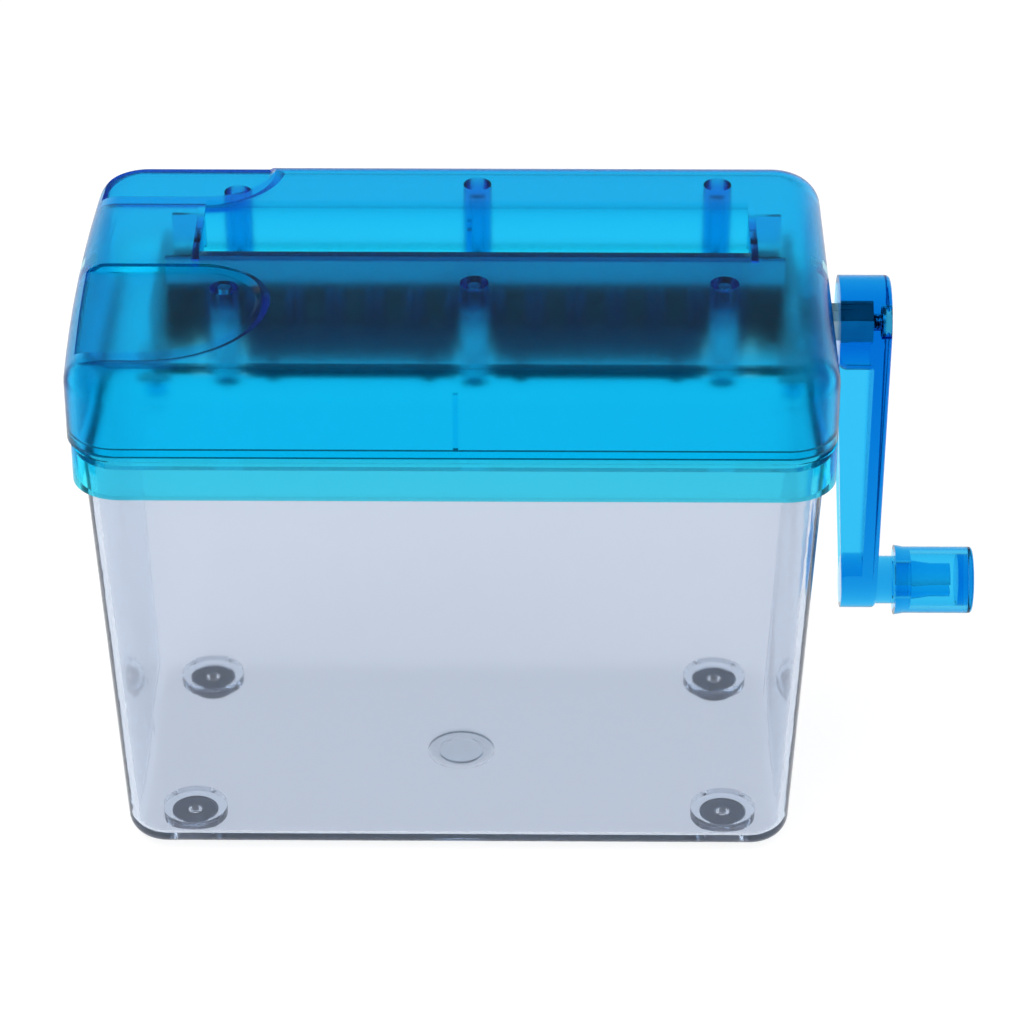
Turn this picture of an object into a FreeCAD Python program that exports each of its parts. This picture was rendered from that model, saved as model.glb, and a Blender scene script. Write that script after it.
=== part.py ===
import FreeCAD, Part
import math
import os
from types import SimpleNamespace
import Sketcher

# Hand-cranked desk paper shredder. Millimetres, +X towards the crank, +Y to the back, +Z up.
# The origin is on the table, under the middle of the bin.

Vector = FreeCAD.Vector
doc = FreeCAD.newDocument("hand_shredder")
sheet = doc.addObject("Spreadsheet::Sheet", "Sizes")

DRIVING_SIZES = {
    # lid in plan: its length follows from the paper slot and the bearings and gears at its ends
    "slot_length": 110.0,
    "lid_depth": 89.6,
    "lid_corner": 10.0,
    "left_end_bulge": 1.6,
    "shell_wall": 1.8,
    # heights
    "foot_proud": 0.8,
    "bin_height": 94.2,
    "lid_seat_gap": 0.1,
    "contact_gap": 0.05,
    "plate_thickness": 2.5,
    "skirt_overlap": 5.8,
    "seam_gap": 1.0,
    "seam_ledge": 0.3,
    "tongue_height": 1.2,
    "tongue_wall": 0.75,
    "tongue_clearance": 0.15,
    "cover_front_height": 17.4,
    "top_rise": 3.2,
    "top_round": 6.0,
    # finger scoops at the left end of the cover
    "scoop_reach": 36.0,
    "front_scoop_margin": 9.8,
    "front_scoop_rear_edge": -0.5,
    "front_scoop_round": 13.0,
    "front_scoop_depth": 1.3,
    "rear_scoop_width": 17.3,
    "rear_scoop_round": 14.0,
    "rear_scoop_depth": 1.9,
    "scoop_wall_slope": 40.0,
    "inner_scoop_slope": 50.0,
    # bin
    "bin_wall": 1.9,
    "bin_floor": 2.0,
    "bin_end_taper": 4.1,
    "bin_side_taper": 7.4,
    "bin_edge_round": 4.5,
    "bin_clearance": 0.3,
    "foot_end_inset": 13.2,
    "foot_side_inset": 10.3,
    "foot_diameter": 9.4,
    "foot_recess_depth": 2.2,
    "foot_hole": 3.2,
    "foot_clearance": 0.1,
    "foot_nipple": 2.9,
    "foot_nipple_length": 2.4,
    "foot_boss_wall": 1.9,
    "gate_ring": 14.0,
    "gate_disc": 9.3,
    "gate_depth": 0.5,
    # cutter rollers
    "axis_above_plate": 4.4,
    "nip_offset": 11.95,
    "axle_spacing": 13.5,
    "disc_radius": 7.5,
    "disc_thickness": 3.9,
    "disc_side_gap": 0.1,
    "cutter_clearance": 0.5,
    "bar_flats": 7.4,
    "bar_clearance": 0.05,
    "gear_room": 7.4,
    "gear_width": 5.0,
    "gear_backlash": 0.16,
    # bearings
    "bearing_plate": 2.0,
    "bearing_height_over_axis": 7.0,
    "bearing_side_margin": 10.0,
    "left_end_space": 10.85,
    "right_end_space": 3.85,
    "bracket_gap": 0.45,
    "bracket_ear_length": 6.2,
    "bracket_ear_width": 6.4,
    "bush_radius": 5.5,
    "bush_flange_radius": 5.9,
    "bush_flange": 0.8,
    "bush_trough_clearance": 0.3,
    "end_play": 0.1,
    "running_clearance": 0.05,
    # screws and posts
    "post_radius": 2.85,
    "post_end_inset": 5.7,
    "post_gap": 0.85,
    "rear_post_inset": 9.8,
    "post_seat_margin": 0.65,
    "screw_radius": 1.25,
    "screw_clearance": 0.05,
    "screw_grip": 4.5,
    "screw_hole_spare": 0.5,
    "screw_head_radius": 2.6,
    "screw_head_height": 1.8,
    "bracket_screw_length": 4.6,
    "bracket_boss_radius": 2.2,
    "bracket_boss_height": 4.2,
    # stripper combs
    "comb_post_gap": 4.1,
    "comb_gap": 0.6,
    "comb_depth": 4.1,
    "comb_height": 6.0,
    "comb_finger_gap": 0.4,
    "comb_peg_radius": 1.5,
    "comb_peg_inset": 5.0,
    "comb_peg_clearance": 0.05,
    # paper mouth
    "mouth_front": 7.35,
    "mouth_rear": 9.45,
    "throat_front": 6.6,
    "throat_rear": 2.4,
    "mouth_wall": 1.5,
    "mouth_round": 10.0,
    "mouth_clearance": 0.7,
    "rib_thickness": 1.0,
    "mouth_rib_reach": 5.2,
    "centre_rib": 1.0,
    "centre_rib_depth": 3.6,
    "centre_rib_offset": 1.4,
    "front_rib_offset": 0.5,
    "front_rib_depth": 1.0,
    "outlet_gap": 1.2,
    # crank
    "shaft_hole_clearance": 0.55,
    "hub_gap": 2.2,
    "hub_radius": 9.5,
    "hub_length": 10.4,
    "hub_web": 3.4,
    "crank_length": 60.8,
    "arm_end_radius": 5.8,
    "arm_plate": 3.2,
    "arm_wall": 1.5,
    "arm_taper": 3.0,
    "arm_edge_round": 1.0,
    "hub_edge_round": 2.0,
    "crank_screw_length": 10.0,
    "crank_screw_radius": 1.5,
    "crank_screw_head_radius": 3.0,
    "crank_screw_head_height": 1.6,
    # knob and its spindle
    "neck_radius": 5.0,
    "neck_length": 3.7,
    "knob_radius": 6.95,
    "knob_flare": 0.35,
    "knob_flare_length": 2.0,
    "knob_length": 16.2,
    "knob_wall": 1.5,
    "knob_inner_end": 3.3,
    "knob_cap": 1.2,
    "knob_edge_round": 0.6,
    "knob_cap_plug": 2.0,
    "knob_play": 0.1,
    "spindle_radius": 3.5,
    "spindle_length": 11.7,
    "spindle_barb": 0.6,
    "spindle_split": 1.6,
}
GEAR_TEETH = 15
PRESSURE_ANGLE = math.radians(20.0)
ADDENDUM_SHARE = 0.8
DEDENDUM_SHARE = 1.05
FLANK_POINTS = 5
NEAR = 0.01


class Size:
    """A length kept both as a sheet expression and as its present number."""

    def __init__(self, text, number):
        self.text = text
        self.number = number

    def __add__(self, other):
        other = as_size(other)
        return Size(f"({self.text} + {other.text})", self.number + other.number)

    def __sub__(self, other):
        other = as_size(other)
        return Size(f"({self.text} - {other.text})", self.number - other.number)

    def __mul__(self, other):
        other = as_size(other)
        return Size(f"({self.text} * {other.text})", self.number * other.number)

    def __truediv__(self, other):
        other = as_size(other)
        return Size(f"({self.text} / {other.text})", self.number / other.number)

    def __radd__(self, other):
        return as_size(other) + self

    def __rsub__(self, other):
        return as_size(other) - self

    def __rmul__(self, other):
        return as_size(other) * self

    def __neg__(self):
        return as_size(0) - self


def as_size(value):
    """A plain number becomes a Size, and a Size stays one."""
    if isinstance(value, Size):
        return value
    return Size(f"({float(value)!r})", float(value))


def fill_sheet():
    """Writes every driving size into the sheet under its own alias."""
    for row, (name, value) in enumerate(DRIVING_SIZES.items(), start=1):
        sheet.set(f"A{row}", name)
        sheet.set(f"B{row}", str(value))
        sheet.setAlias(f"B{row}", name)
    doc.recompute()
    return SimpleNamespace(**{name: Size(f"Sizes.{name}", float(sheet.get(name))) for name in DRIVING_SIZES})


at = fill_sheet()

# Places that follow from the driving sizes
rim_room = at.bracket_gap + at.shell_wall
left_end_room = at.gear_room + at.bearing_plate + at.left_end_space + rim_room
right_end_room = at.gear_room + at.bearing_plate + at.right_end_space + rim_room
lid_length = at.slot_length + left_end_room + right_end_room
lid_half = lid_length / 2
depth_half = at.lid_depth / 2
slot_left = left_end_room - lid_half
slot_right = lid_half - right_end_room
slot_middle = (slot_left + slot_right) / 2
bin_bottom = at.foot_proud
bin_top = bin_bottom + at.bin_height
plate_bottom = bin_top + at.lid_seat_gap
plate_top = plate_bottom + at.plate_thickness
skirt_bottom = plate_bottom - at.skirt_overlap
cover_bottom = plate_top + at.seam_gap
ledge_top = cover_bottom - at.contact_gap
tongue_inset = at.shell_wall - at.tongue_wall
tongue_top = cover_bottom + at.tongue_height
top_middle = cover_bottom + at.cover_front_height + at.top_rise / 2
top_rear = cover_bottom + at.cover_front_height + at.top_rise
axis_z = plate_top + at.axis_above_plate
front_axis = at.nip_offset - at.axle_spacing / 2
rear_axis = at.nip_offset + at.axle_spacing / 2
bin_end_half = lid_half - at.shell_wall - at.bin_clearance
bin_side_half = depth_half - at.shell_wall - at.bin_clearance
bin_corner = at.lid_corner - at.shell_wall
spacer_radius = at.axle_spacing - at.disc_radius - at.cutter_clearance
bar_radius = at.bar_flats / math.sqrt(3)
bar_bore_radius = (at.bar_flats + 2 * at.bar_clearance) / math.sqrt(3)
disc_pitch = 2 * (at.disc_thickness + at.disc_side_gap)
front_count = int(at.slot_length.number / disc_pitch.number) + 1
left_plate_face = slot_left - at.gear_room
right_plate_face = slot_right + at.gear_room
post_pitch = at.slot_length / 2 - at.post_end_inset
post_columns = [slot_middle - post_pitch, slot_middle, slot_middle + post_pitch]
front_post_row = front_axis - at.disc_radius - at.post_radius - at.post_gap
rear_post_row = depth_half - at.rear_post_inset
mouth_bottom = axis_z + at.disc_radius + at.mouth_clearance
hub_start = lid_half + at.hub_gap
hub_end = hub_start + at.hub_length
knob_axis_z = axis_z - at.crank_length
knob_start = hub_end + at.neck_length + at.knob_play


def bind(thing, path, size):
    """Ties one property of an object to the sheet."""
    thing.setExpression(path, as_size(size).text)


def place(thing, x, y, z):
    """Ties an object's place to the sheet."""
    for axis, size in zip("xyz", (x, y, z)):
        bind(thing, f"Placement.Base.{axis}", size)


def box(name, x, y, z):
    """A block between two limits on each axis."""
    block = doc.addObject("Part::Box", name)
    for side, (low, high) in zip(("Length", "Width", "Height"), (x, y, z)):
        bind(block, side, as_size(high) - low)
    place(block, x[0], y[0], z[0])
    return block


ALONG_X = FreeCAD.Rotation(Vector(0, 1, 0), 90)


def upright(name, radius, x, y, z):
    """A round bar along Z between two heights."""
    bar = doc.addObject("Part::Cylinder", name)
    bind(bar, "Radius", radius)
    bind(bar, "Height", as_size(z[1]) - z[0])
    place(bar, x, y, z[0])
    return bar


def lying(name, radius, x, y, z):
    """A round bar along X between two stations."""
    bar = doc.addObject("Part::Cylinder", name)
    bar.Placement = FreeCAD.Placement(Vector(), ALONG_X)
    bind(bar, "Radius", radius)
    bind(bar, "Height", as_size(x[1]) - x[0])
    place(bar, x[0], y, z)
    return bar


def lying_cone(name, radii, x, y, z):
    """A cone along X between two stations, with a radius at each."""
    cone = doc.addObject("Part::Cone", name)
    cone.Placement = FreeCAD.Placement(Vector(), ALONG_X)
    bind(cone, "Radius1", radii[0])
    bind(cone, "Radius2", radii[1])
    bind(cone, "Height", as_size(x[1]) - x[0])
    place(cone, x[0], y, z)
    return cone


def lying_hexagon(name, radius, x, y, z):
    """A hexagonal bar along X between two stations, with corners up and down."""
    bar = doc.addObject("Part::Prism", name)
    bar.Polygon = 6
    bar.Placement = FreeCAD.Placement(Vector(), ALONG_X)
    bind(bar, "Circumradius", radius)
    bind(bar, "Height", as_size(x[1]) - x[0])
    place(bar, x[0], y, z)
    return bar


def fuse(name, pieces):
    """One solid from several that touch or overlap."""
    joined = doc.addObject("Part::MultiFuse", name)
    joined.Shapes = pieces
    joined.Refine = True
    return joined


def cut(name, base, tools):
    """A solid with every tool taken out of it."""
    tool = tools[0] if len(tools) == 1 else fuse(f"{name}_tools", tools)
    result = doc.addObject("Part::Cut", name)
    result.Base = base
    result.Tool = tool
    result.Refine = True
    return result


def common(name, pieces):
    """What several solids share."""
    shared = doc.addObject("Part::MultiCommon", name)
    shared.Shapes = pieces
    shared.Refine = True
    return shared


def group(name, pieces):
    """Separate equal solids that share one node."""
    collected = doc.addObject("Part::Compound", name)
    collected.Links = pieces
    return collected


def new_body(name):
    return doc.addObject("PartDesign::Body", name)


def origin_plane(body, role):
    return next(plane for plane in body.Origin.OriginFeatures if plane.Role == role)


def arc_between(start, end, radius):
    """An arc of the given radius that turns left on its way from start to end."""
    chord = end - start
    half = chord.Length / 2
    across = Vector(-chord.y, chord.x, 0).normalize()
    centre = start + chord / 2 + across * math.sqrt(max(radius * radius - half * half, 0))
    circle = Part.Circle(centre, Vector(0, 0, 1), radius)
    first = math.atan2(start.y - centre.y, start.x - centre.x)
    last = math.atan2(end.y - centre.y, end.x - centre.x)
    if last < first:
        last += 2 * math.pi
    return Part.ArcOfCircle(circle, first, last)


def new_sketch(body, name, plane, lift):
    """An empty sketch on one of the body's planes, lifted off it along its normal."""
    sketch = body.newObject("Sketcher::SketchObject", name)
    sketch.AttachmentSupport = [(origin_plane(body, plane), "")]
    sketch.MapMode = "FlatFace"
    if lift is not None:
        bind(sketch, "AttachmentOffset.Base.z", lift)
    return sketch


def outline(body, name, plane, corners, lift=None):
    """A closed sketch, drawn anticlockwise through corners whose coordinates are tied to the sheet.

    A corner with a third value is reached by an arc of that radius, which turns left.
    """
    sketch = new_sketch(body, name, plane, lift)
    corners = [tuple(as_size(value) for value in corner) for corner in corners]
    points = [Vector(corner[0].number, corner[1].number, 0) for corner in corners]
    for index, corner in enumerate(corners):
        start, end = points[index - 1], points[index]
        if len(corner) == 3:
            sketch.addGeometry(arc_between(start, end, corner[2].number))
        else:
            sketch.addGeometry(Part.LineSegment(start, end))
    for index, corner in enumerate(corners):
        sketch.addConstraint(Sketcher.Constraint("Coincident", index, 2, (index + 1) % len(corners), 1))
        for kind, value in zip(("DistanceX", "DistanceY"), corner):
            tie(sketch, f"{kind}_{index}", value, kind, -1, 1, index, 2)
        if len(corner) == 3:
            tie(sketch, f"Radius_{index}", corner[2], "Radius", index)
    return sketch


def tie(sketch, name, size, kind, *elements):
    """Adds one named measure to a sketch and ties it to the sheet."""
    number = sketch.addConstraint(Sketcher.Constraint(kind, *elements, size.number))
    sketch.renameConstraint(number, name)
    bind(sketch, f"Constraints.{name}", size)


def pad(body, sketch, length, both_ways=False):
    """Raises a sketch along its normal, or evenly to both sides."""
    feature = body.newObject("PartDesign::Pad", f"{sketch.Name}_pad")
    feature.Profile = sketch
    bind(feature, "Length", length)
    if both_ways:
        feature.SideType = "Symmetric"
    body.Tip = feature
    doc.recompute()
    return feature


def pocket(body, sketch, length, slope=None, both_ways=False):
    """Cuts a sketch into the body against its normal, or evenly to both sides."""
    before = body.Shape.Volume
    feature = body.newObject("PartDesign::Pocket", f"{sketch.Name}_pocket")
    feature.Profile = sketch
    bind(feature, "Length", length)
    if slope is not None:
        bind(feature, "TaperAngle", slope)
    if both_ways:
        feature.SideType = "Symmetric"
    body.Tip = feature
    doc.recompute()
    if body.Shape.Volume >= before:
        raise RuntimeError(f"{feature.Name} takes nothing away")
    return feature


def round_edges(body, base, name, radius, wanted):
    """Rounds each edge of a body's latest feature that the test picks."""
    edges = [f"Edge{i}" for i, edge in enumerate(base.Shape.Edges, start=1) if wanted(edge)]
    feature = body.newObject("PartDesign::Fillet", name)
    feature.Base = (base, edges)
    bind(feature, "Radius", radius)
    body.Tip = feature
    doc.recompute()
    return feature


def is_upright(edge):
    """True for an edge that rises more than it runs."""
    low, high = edge.BoundBox.ZMin, edge.BoundBox.ZMax
    return high - low > max(edge.BoundBox.XLength, edge.BoundBox.YLength)


def rounded_plan(half_x, half_y, corner):
    """Corners of a rectangle on the middle line, with a quarter circle at each of its four."""
    end = half_x - corner
    side = half_y - corner
    return [(half_x, -side, corner), (half_x, side), (end, half_y, corner), (-end, half_y),
            (-half_x, side, corner), (-half_x, -side), (-end, -half_y, corner), (end, -half_y)]


def rounded_block(name, half_x, half_y, corner, z):
    """A block on the middle line with round upright corners."""
    body = new_body(name)
    plan = outline(body, f"{name}_plan", "XY_Plane", rounded_plan(half_x, half_y, corner), lift=z[0])
    pad(body, plan, as_size(z[1]) - z[0])
    return body


def tapered_block(name, bottom, top, z, corner, edge_round):
    """A block that widens from its bottom outline to its top one, with round corners and bottom edge."""
    body = new_body(name)
    sketches = [outline(body, f"{name}_{level}", "XY_Plane", rounded_plan(*half, corner), lift=height)
                for level, half, height in (("bottom", bottom, z[0]), ("top", top, z[1]))]
    loft = body.newObject("PartDesign::AdditiveLoft", f"{name}_loft")
    loft.Profile = sketches[1]
    loft.Sections = [sketches[0]]
    loft.Ruled = True
    body.Tip = loft
    doc.recompute()
    floor = as_size(z[0]).number
    round_edges(body, loft, f"{name}_foot", edge_round, lambda edge: edge.CenterOfMass.z < floor + NEAR)
    return body


def rounded_bar(name, radius, x, y, z, edge_round, ends):
    """A round bar along X with one or both of its end edges rounded."""
    body = new_body(name)
    profile = new_sketch(body, f"{name}_profile", "YZ_Plane", x[0])
    profile.addGeometry(Part.Circle(Vector(y.number, z.number, 0), Vector(0, 0, 1), radius.number))
    tie(profile, "DistanceX_centre", y, "DistanceX", -1, 1, 0, 3)
    tie(profile, "DistanceY_centre", z, "DistanceY", -1, 1, 0, 3)
    tie(profile, "Radius", radius, "Radius", 0)
    bar = pad(body, profile, as_size(x[1]) - x[0])
    stations = [as_size(station).number for station in ends]
    round_edges(body, bar, f"{name}_edges", edge_round, lambda edge: lies_at(edge, stations))
    return body


def lies_at(edge, stations):
    """True for an edge that lies square to X at one of the stations."""
    limits = edge.BoundBox
    return limits.XLength < NEAR and any(abs(limits.XMin - station) < NEAR for station in stations)


def make_bin():
    """Clear bin: a tapered shell with foot bosses in its floor, and a gate mark under its middle."""
    base_end = bin_end_half - at.bin_end_taper
    base_side = bin_side_half - at.bin_side_taper
    outer = tapered_block("bin_outer", (base_end, base_side), (bin_end_half, bin_side_half),
                          (bin_bottom, bin_top), bin_corner, at.bin_edge_round)
    inner = tapered_block("bin_inner", (base_end - at.bin_wall, base_side - at.bin_wall),
                          (bin_end_half - at.bin_wall, bin_side_half - at.bin_wall),
                          (bin_bottom + at.bin_floor, bin_top),
                          bin_corner - at.bin_wall, at.bin_edge_round - at.bin_wall)
    shell = cut("bin_shell", outer, [inner])
    recess_radius = at.foot_diameter / 2 + at.foot_clearance
    recess_top = bin_bottom + at.foot_recess_depth
    bosses, recesses, nipples, feet = [], [], [], []
    for index, (side_x, side_y) in enumerate(((-1, -1), (1, -1), (1, 1), (-1, 1)), start=1):
        x = side_x * (base_end - at.foot_end_inset)
        y = side_y * (base_side - at.foot_side_inset)
        bosses.append(upright(f"foot_boss_{index}", recess_radius + at.foot_boss_wall, x, y,
                              (bin_bottom + at.bin_floor / 2, recess_top + at.bin_wall)))
        recesses.append(upright(f"foot_recess_{index}", recess_radius, x, y, (0, recess_top)))
        nipples.append(upright(f"foot_nipple_{index}", at.foot_nipple / 2, x, y,
                               (recess_top - at.foot_nipple_length, recess_top + at.bin_wall / 2)))
        washer = upright(f"foot_washer_{index}", at.foot_diameter / 2, x, y, (0, recess_top))
        hole = upright(f"foot_hole_{index}", at.foot_hole / 2, x, y, (0, recess_top))
        feet.append(cut(f"foot_{index}", washer, [hole]))
    gate_heights = (bin_bottom, bin_bottom + at.gate_depth)
    gate = cut("gate_groove", upright("gate_ring", at.gate_ring / 2, 0, 0, gate_heights),
               [upright("gate_disc", at.gate_disc / 2, 0, 0, gate_heights)])
    hollowed = cut("bin_hollowed", fuse("bin_with_bosses", [shell] + bosses), recesses + [gate])
    return {"waste_bin": fuse("waste_bin", [hollowed] + nipples), "rubber_feet": group("rubber_feet", feet)}


def cover_block(name, inset, bottom, scoop_slope):
    """The cover's outer form, or its hollow when inset by the wall: bulged left end, sloping top, scoops."""
    half_x = lid_half - inset
    half_y = depth_half - inset
    bulge_radius = (half_y * half_y + at.left_end_bulge * at.left_end_bulge) / (2 * at.left_end_bulge)
    body = new_body(name)
    plan = outline(body, f"{name}_plan", "XY_Plane", lift=bottom, corners=[
        (half_x, -half_y), (half_x, half_y), (-half_x, half_y), (-half_x, -half_y, bulge_radius)])
    block = pad(body, plan, top_rear + at.top_rise - bottom)
    block = round_edges(body, block, f"{name}_corners", at.lid_corner - inset, is_upright)
    slope = outline(body, f"{name}_slope", "YZ_Plane", [
        (-at.lid_depth, top_middle - at.top_rise - inset), (at.lid_depth, top_middle + at.top_rise - inset),
        (at.lid_depth, top_rear + at.lid_depth), (-at.lid_depth, top_rear + at.lid_depth)])
    block = pocket(body, slope, 2 * lid_length, both_ways=True)
    lowest_top = (top_middle - at.top_rise - inset).number
    block = round_edges(body, block, f"{name}_top_round", at.top_round - inset,
                        lambda edge: edge.BoundBox.ZMin > lowest_top)
    past_end = -lid_length
    reach = at.scoop_reach - lid_half + inset
    edge_rear = at.front_scoop_rear_edge + inset
    edge_front = at.front_scoop_margin - depth_half - inset
    rear_round = at.front_scoop_round + inset
    front_round = edge_rear - edge_front - rear_round
    front_scoop = outline(body, f"{name}_front_scoop", "XY_Plane", [
        (past_end, edge_front), (reach - front_round, edge_front),
        (reach, edge_front + front_round, front_round), (reach - rear_round, edge_rear, rear_round),
        (past_end, edge_rear)])
    lay_on_top(front_scoop, inset)
    block = pocket(body, front_scoop, at.front_scoop_depth, slope=-scoop_slope)
    scoop_edge = depth_half - at.rear_scoop_width - inset
    corner_round = at.rear_scoop_round + inset
    rear_scoop = outline(body, f"{name}_rear_scoop", "XY_Plane", [
        (past_end, scoop_edge), (reach - corner_round, scoop_edge),
        (reach, scoop_edge + corner_round, corner_round), (reach, at.lid_depth), (past_end, at.lid_depth)])
    lay_on_top(rear_scoop, inset)
    pocket(body, rear_scoop, at.rear_scoop_depth, slope=-scoop_slope)
    return body


def lay_on_top(sketch, inset):
    """Lays a sketch on the cover's sloping top, or on the face under it."""
    slope = Size(f"atan({at.top_rise.text} / {at.lid_depth.text})",
                 math.degrees(math.atan2(at.top_rise.number, at.lid_depth.number)))
    sketch.AttachmentOffset = FreeCAD.Placement(Vector(), FreeCAD.Rotation(Vector(1, 0, 0), slope.number))
    bind(sketch, "AttachmentOffset.Base.z", top_middle - inset)
    bind(sketch, "AttachmentOffset.Rotation.Angle", slope)


def side_prism(name, corners, x):
    """An outline in the YZ plane carried along X between two stations."""
    body = new_body(name)
    profile = outline(body, f"{name}_profile", "YZ_Plane", corners, lift=x[0])
    pad(body, profile, as_size(x[1]) - x[0])
    return body


def lies_along(edge, y, z):
    """True for an edge along X whose middle has these two coordinates."""
    middle = edge.CenterOfMass
    return abs(middle.y - y.number) + abs(middle.z - z.number) < NEAR


def paper_mouth(outer):
    """The funnel's walls, trimmed to the cover's outer form, and the tool that opens it."""
    above = top_rear + at.lid_depth
    lip = at.nip_offset - at.mouth_front
    rear = at.nip_offset + at.mouth_rear
    throat_front = at.nip_offset - at.throat_front
    throat_rear = at.nip_offset + at.throat_rear
    rise = at.top_rise / at.lid_depth
    opening_bottom = mouth_bottom - at.mouth_clearance / 2
    rear_top = top_middle + rear * rise
    bend = rear + at.mouth_wall - at.shell_wall * (rear - throat_rear) / (rear_top - opening_bottom)
    bend_z = top_middle - at.shell_wall + bend * rise
    behind = bend + at.mouth_round
    block = side_prism("mouth_block", [
        (throat_front - at.mouth_wall, mouth_bottom), (throat_rear + at.mouth_wall, mouth_bottom),
        (bend, bend_z), (behind, top_middle - at.shell_wall + behind * rise), (behind, above),
        (lip - at.mouth_wall, above), (lip - at.mouth_wall, top_middle - at.shell_wall)],
        (slot_left - at.mouth_wall, slot_right + at.mouth_wall))
    round_edges(block, block.Tip, "mouth_bend_round", at.mouth_round - at.mouth_wall,
                lambda edge: lies_along(edge, bend, bend_z))
    ribs = []
    for end, edge, way in (("left", slot_left, -1), ("right", slot_right, 1)):
        stations = between(edge, edge + way * (at.mouth_wall + at.mouth_rib_reach))
        ribs.append(box(f"{end}_lip_rib", stations, (lip - at.rib_thickness, lip), (mouth_bottom, above)))
        ribs.append(box(f"{end}_rear_rib", stations, (rear, rear + at.rib_thickness), (mouth_bottom, above)))
    walls = common("mouth_walls", [fuse("mouth_solid", [block] + ribs), outer])
    body = new_body("mouth_opening")
    profile = outline(body, "mouth_opening_profile", "YZ_Plane", lift=slot_left, corners=[
        (throat_front, opening_bottom), (throat_rear, opening_bottom),
        (rear, rear_top), (at.lid_depth, top_middle + at.top_rise),
        (at.lid_depth, above), (lip, above), (lip, top_middle + lip * rise)])
    tool = pad(body, profile, at.slot_length)
    round_edges(body, tool, "mouth_rear_round", at.mouth_round, lambda edge: lies_along(edge, rear, rear_top))
    fin_middle = slot_middle - at.centre_rib_offset
    fin_top = top_middle - at.shell_wall
    fin = side_prism("centre_fin", [
        (throat_rear, mouth_bottom), (throat_rear + at.mouth_wall, mouth_bottom),
        (rear + at.mouth_wall, fin_top), (rear - at.centre_rib_depth, fin_top)],
        (fin_middle - at.centre_rib / 2, fin_middle + at.centre_rib / 2))
    return walls, body, fin


def make_cover():
    """See-through cover with its paper mouth, screw posts, ribs and the notch for the crank's bar."""
    outer = cover_block("cover_outer", as_size(0), cover_bottom, at.scoop_wall_slope)
    inner = cover_block("cover_inner", at.shell_wall, plate_top, at.inner_scoop_slope)
    rebate_top = tongue_top + at.tongue_clearance
    rebate = rim_block("cover_rebate", tongue_inset - at.tongue_clearance, (plate_top, rebate_top))
    shell = cut("cover_shell", outer, [inner, rebate])
    walls, opening, fin = paper_mouth(outer)
    posts, pilots = [], []
    for row, y in (("front", front_post_row), ("rear", rear_post_row)):
        for number, x in enumerate(post_columns, start=1):
            posts.append(upright(f"{row}_post_{number}", at.post_radius, x, y, (cover_bottom, top_rear)))
            pilots.append(upright(f"{row}_pilot_{number}", at.screw_radius + at.screw_clearance, x, y,
                                  (cover_bottom, top_middle - at.front_scoop_depth - at.shell_wall)))
    inner_front = at.shell_wall - depth_half
    rib = box("front_wall_rib",
              (at.front_rib_offset - at.rib_thickness / 2, at.front_rib_offset + at.rib_thickness / 2),
              (inner_front - at.shell_wall / 2, inner_front + at.front_rib_depth),
              (rebate_top, top_middle - at.top_round))
    uprights = common("cover_uprights", [fuse("cover_posts", posts + [rib]), outer])
    notch = shaft_notch("cover")
    solid = fuse("cover_solid", [shell, walls, uprights])
    opened = cut("cover_opened", solid, [opening] + pilots + notch)
    return {"top_cover": fuse("top_cover", [opened, fin])}


def shaft_notch(name):
    """The way in from below for the crank's bar through the right end."""
    radius = bar_radius + at.shaft_hole_clearance
    stations = (lid_half - 2 * at.shell_wall, lid_half + at.shell_wall)
    return [lying(f"{name}_bar_hole", radius, stations, front_axis, axis_z),
            box(f"{name}_bar_way", stations, (front_axis - radius, front_axis + radius),
                (plate_top, axis_z))]


def rim_block(name, inset, z):
    """A block with the plan of the lid's rim, drawn in by the inset all round."""
    return rounded_block(name, lid_half - inset, depth_half - inset, at.lid_corner - inset, z)


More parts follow.
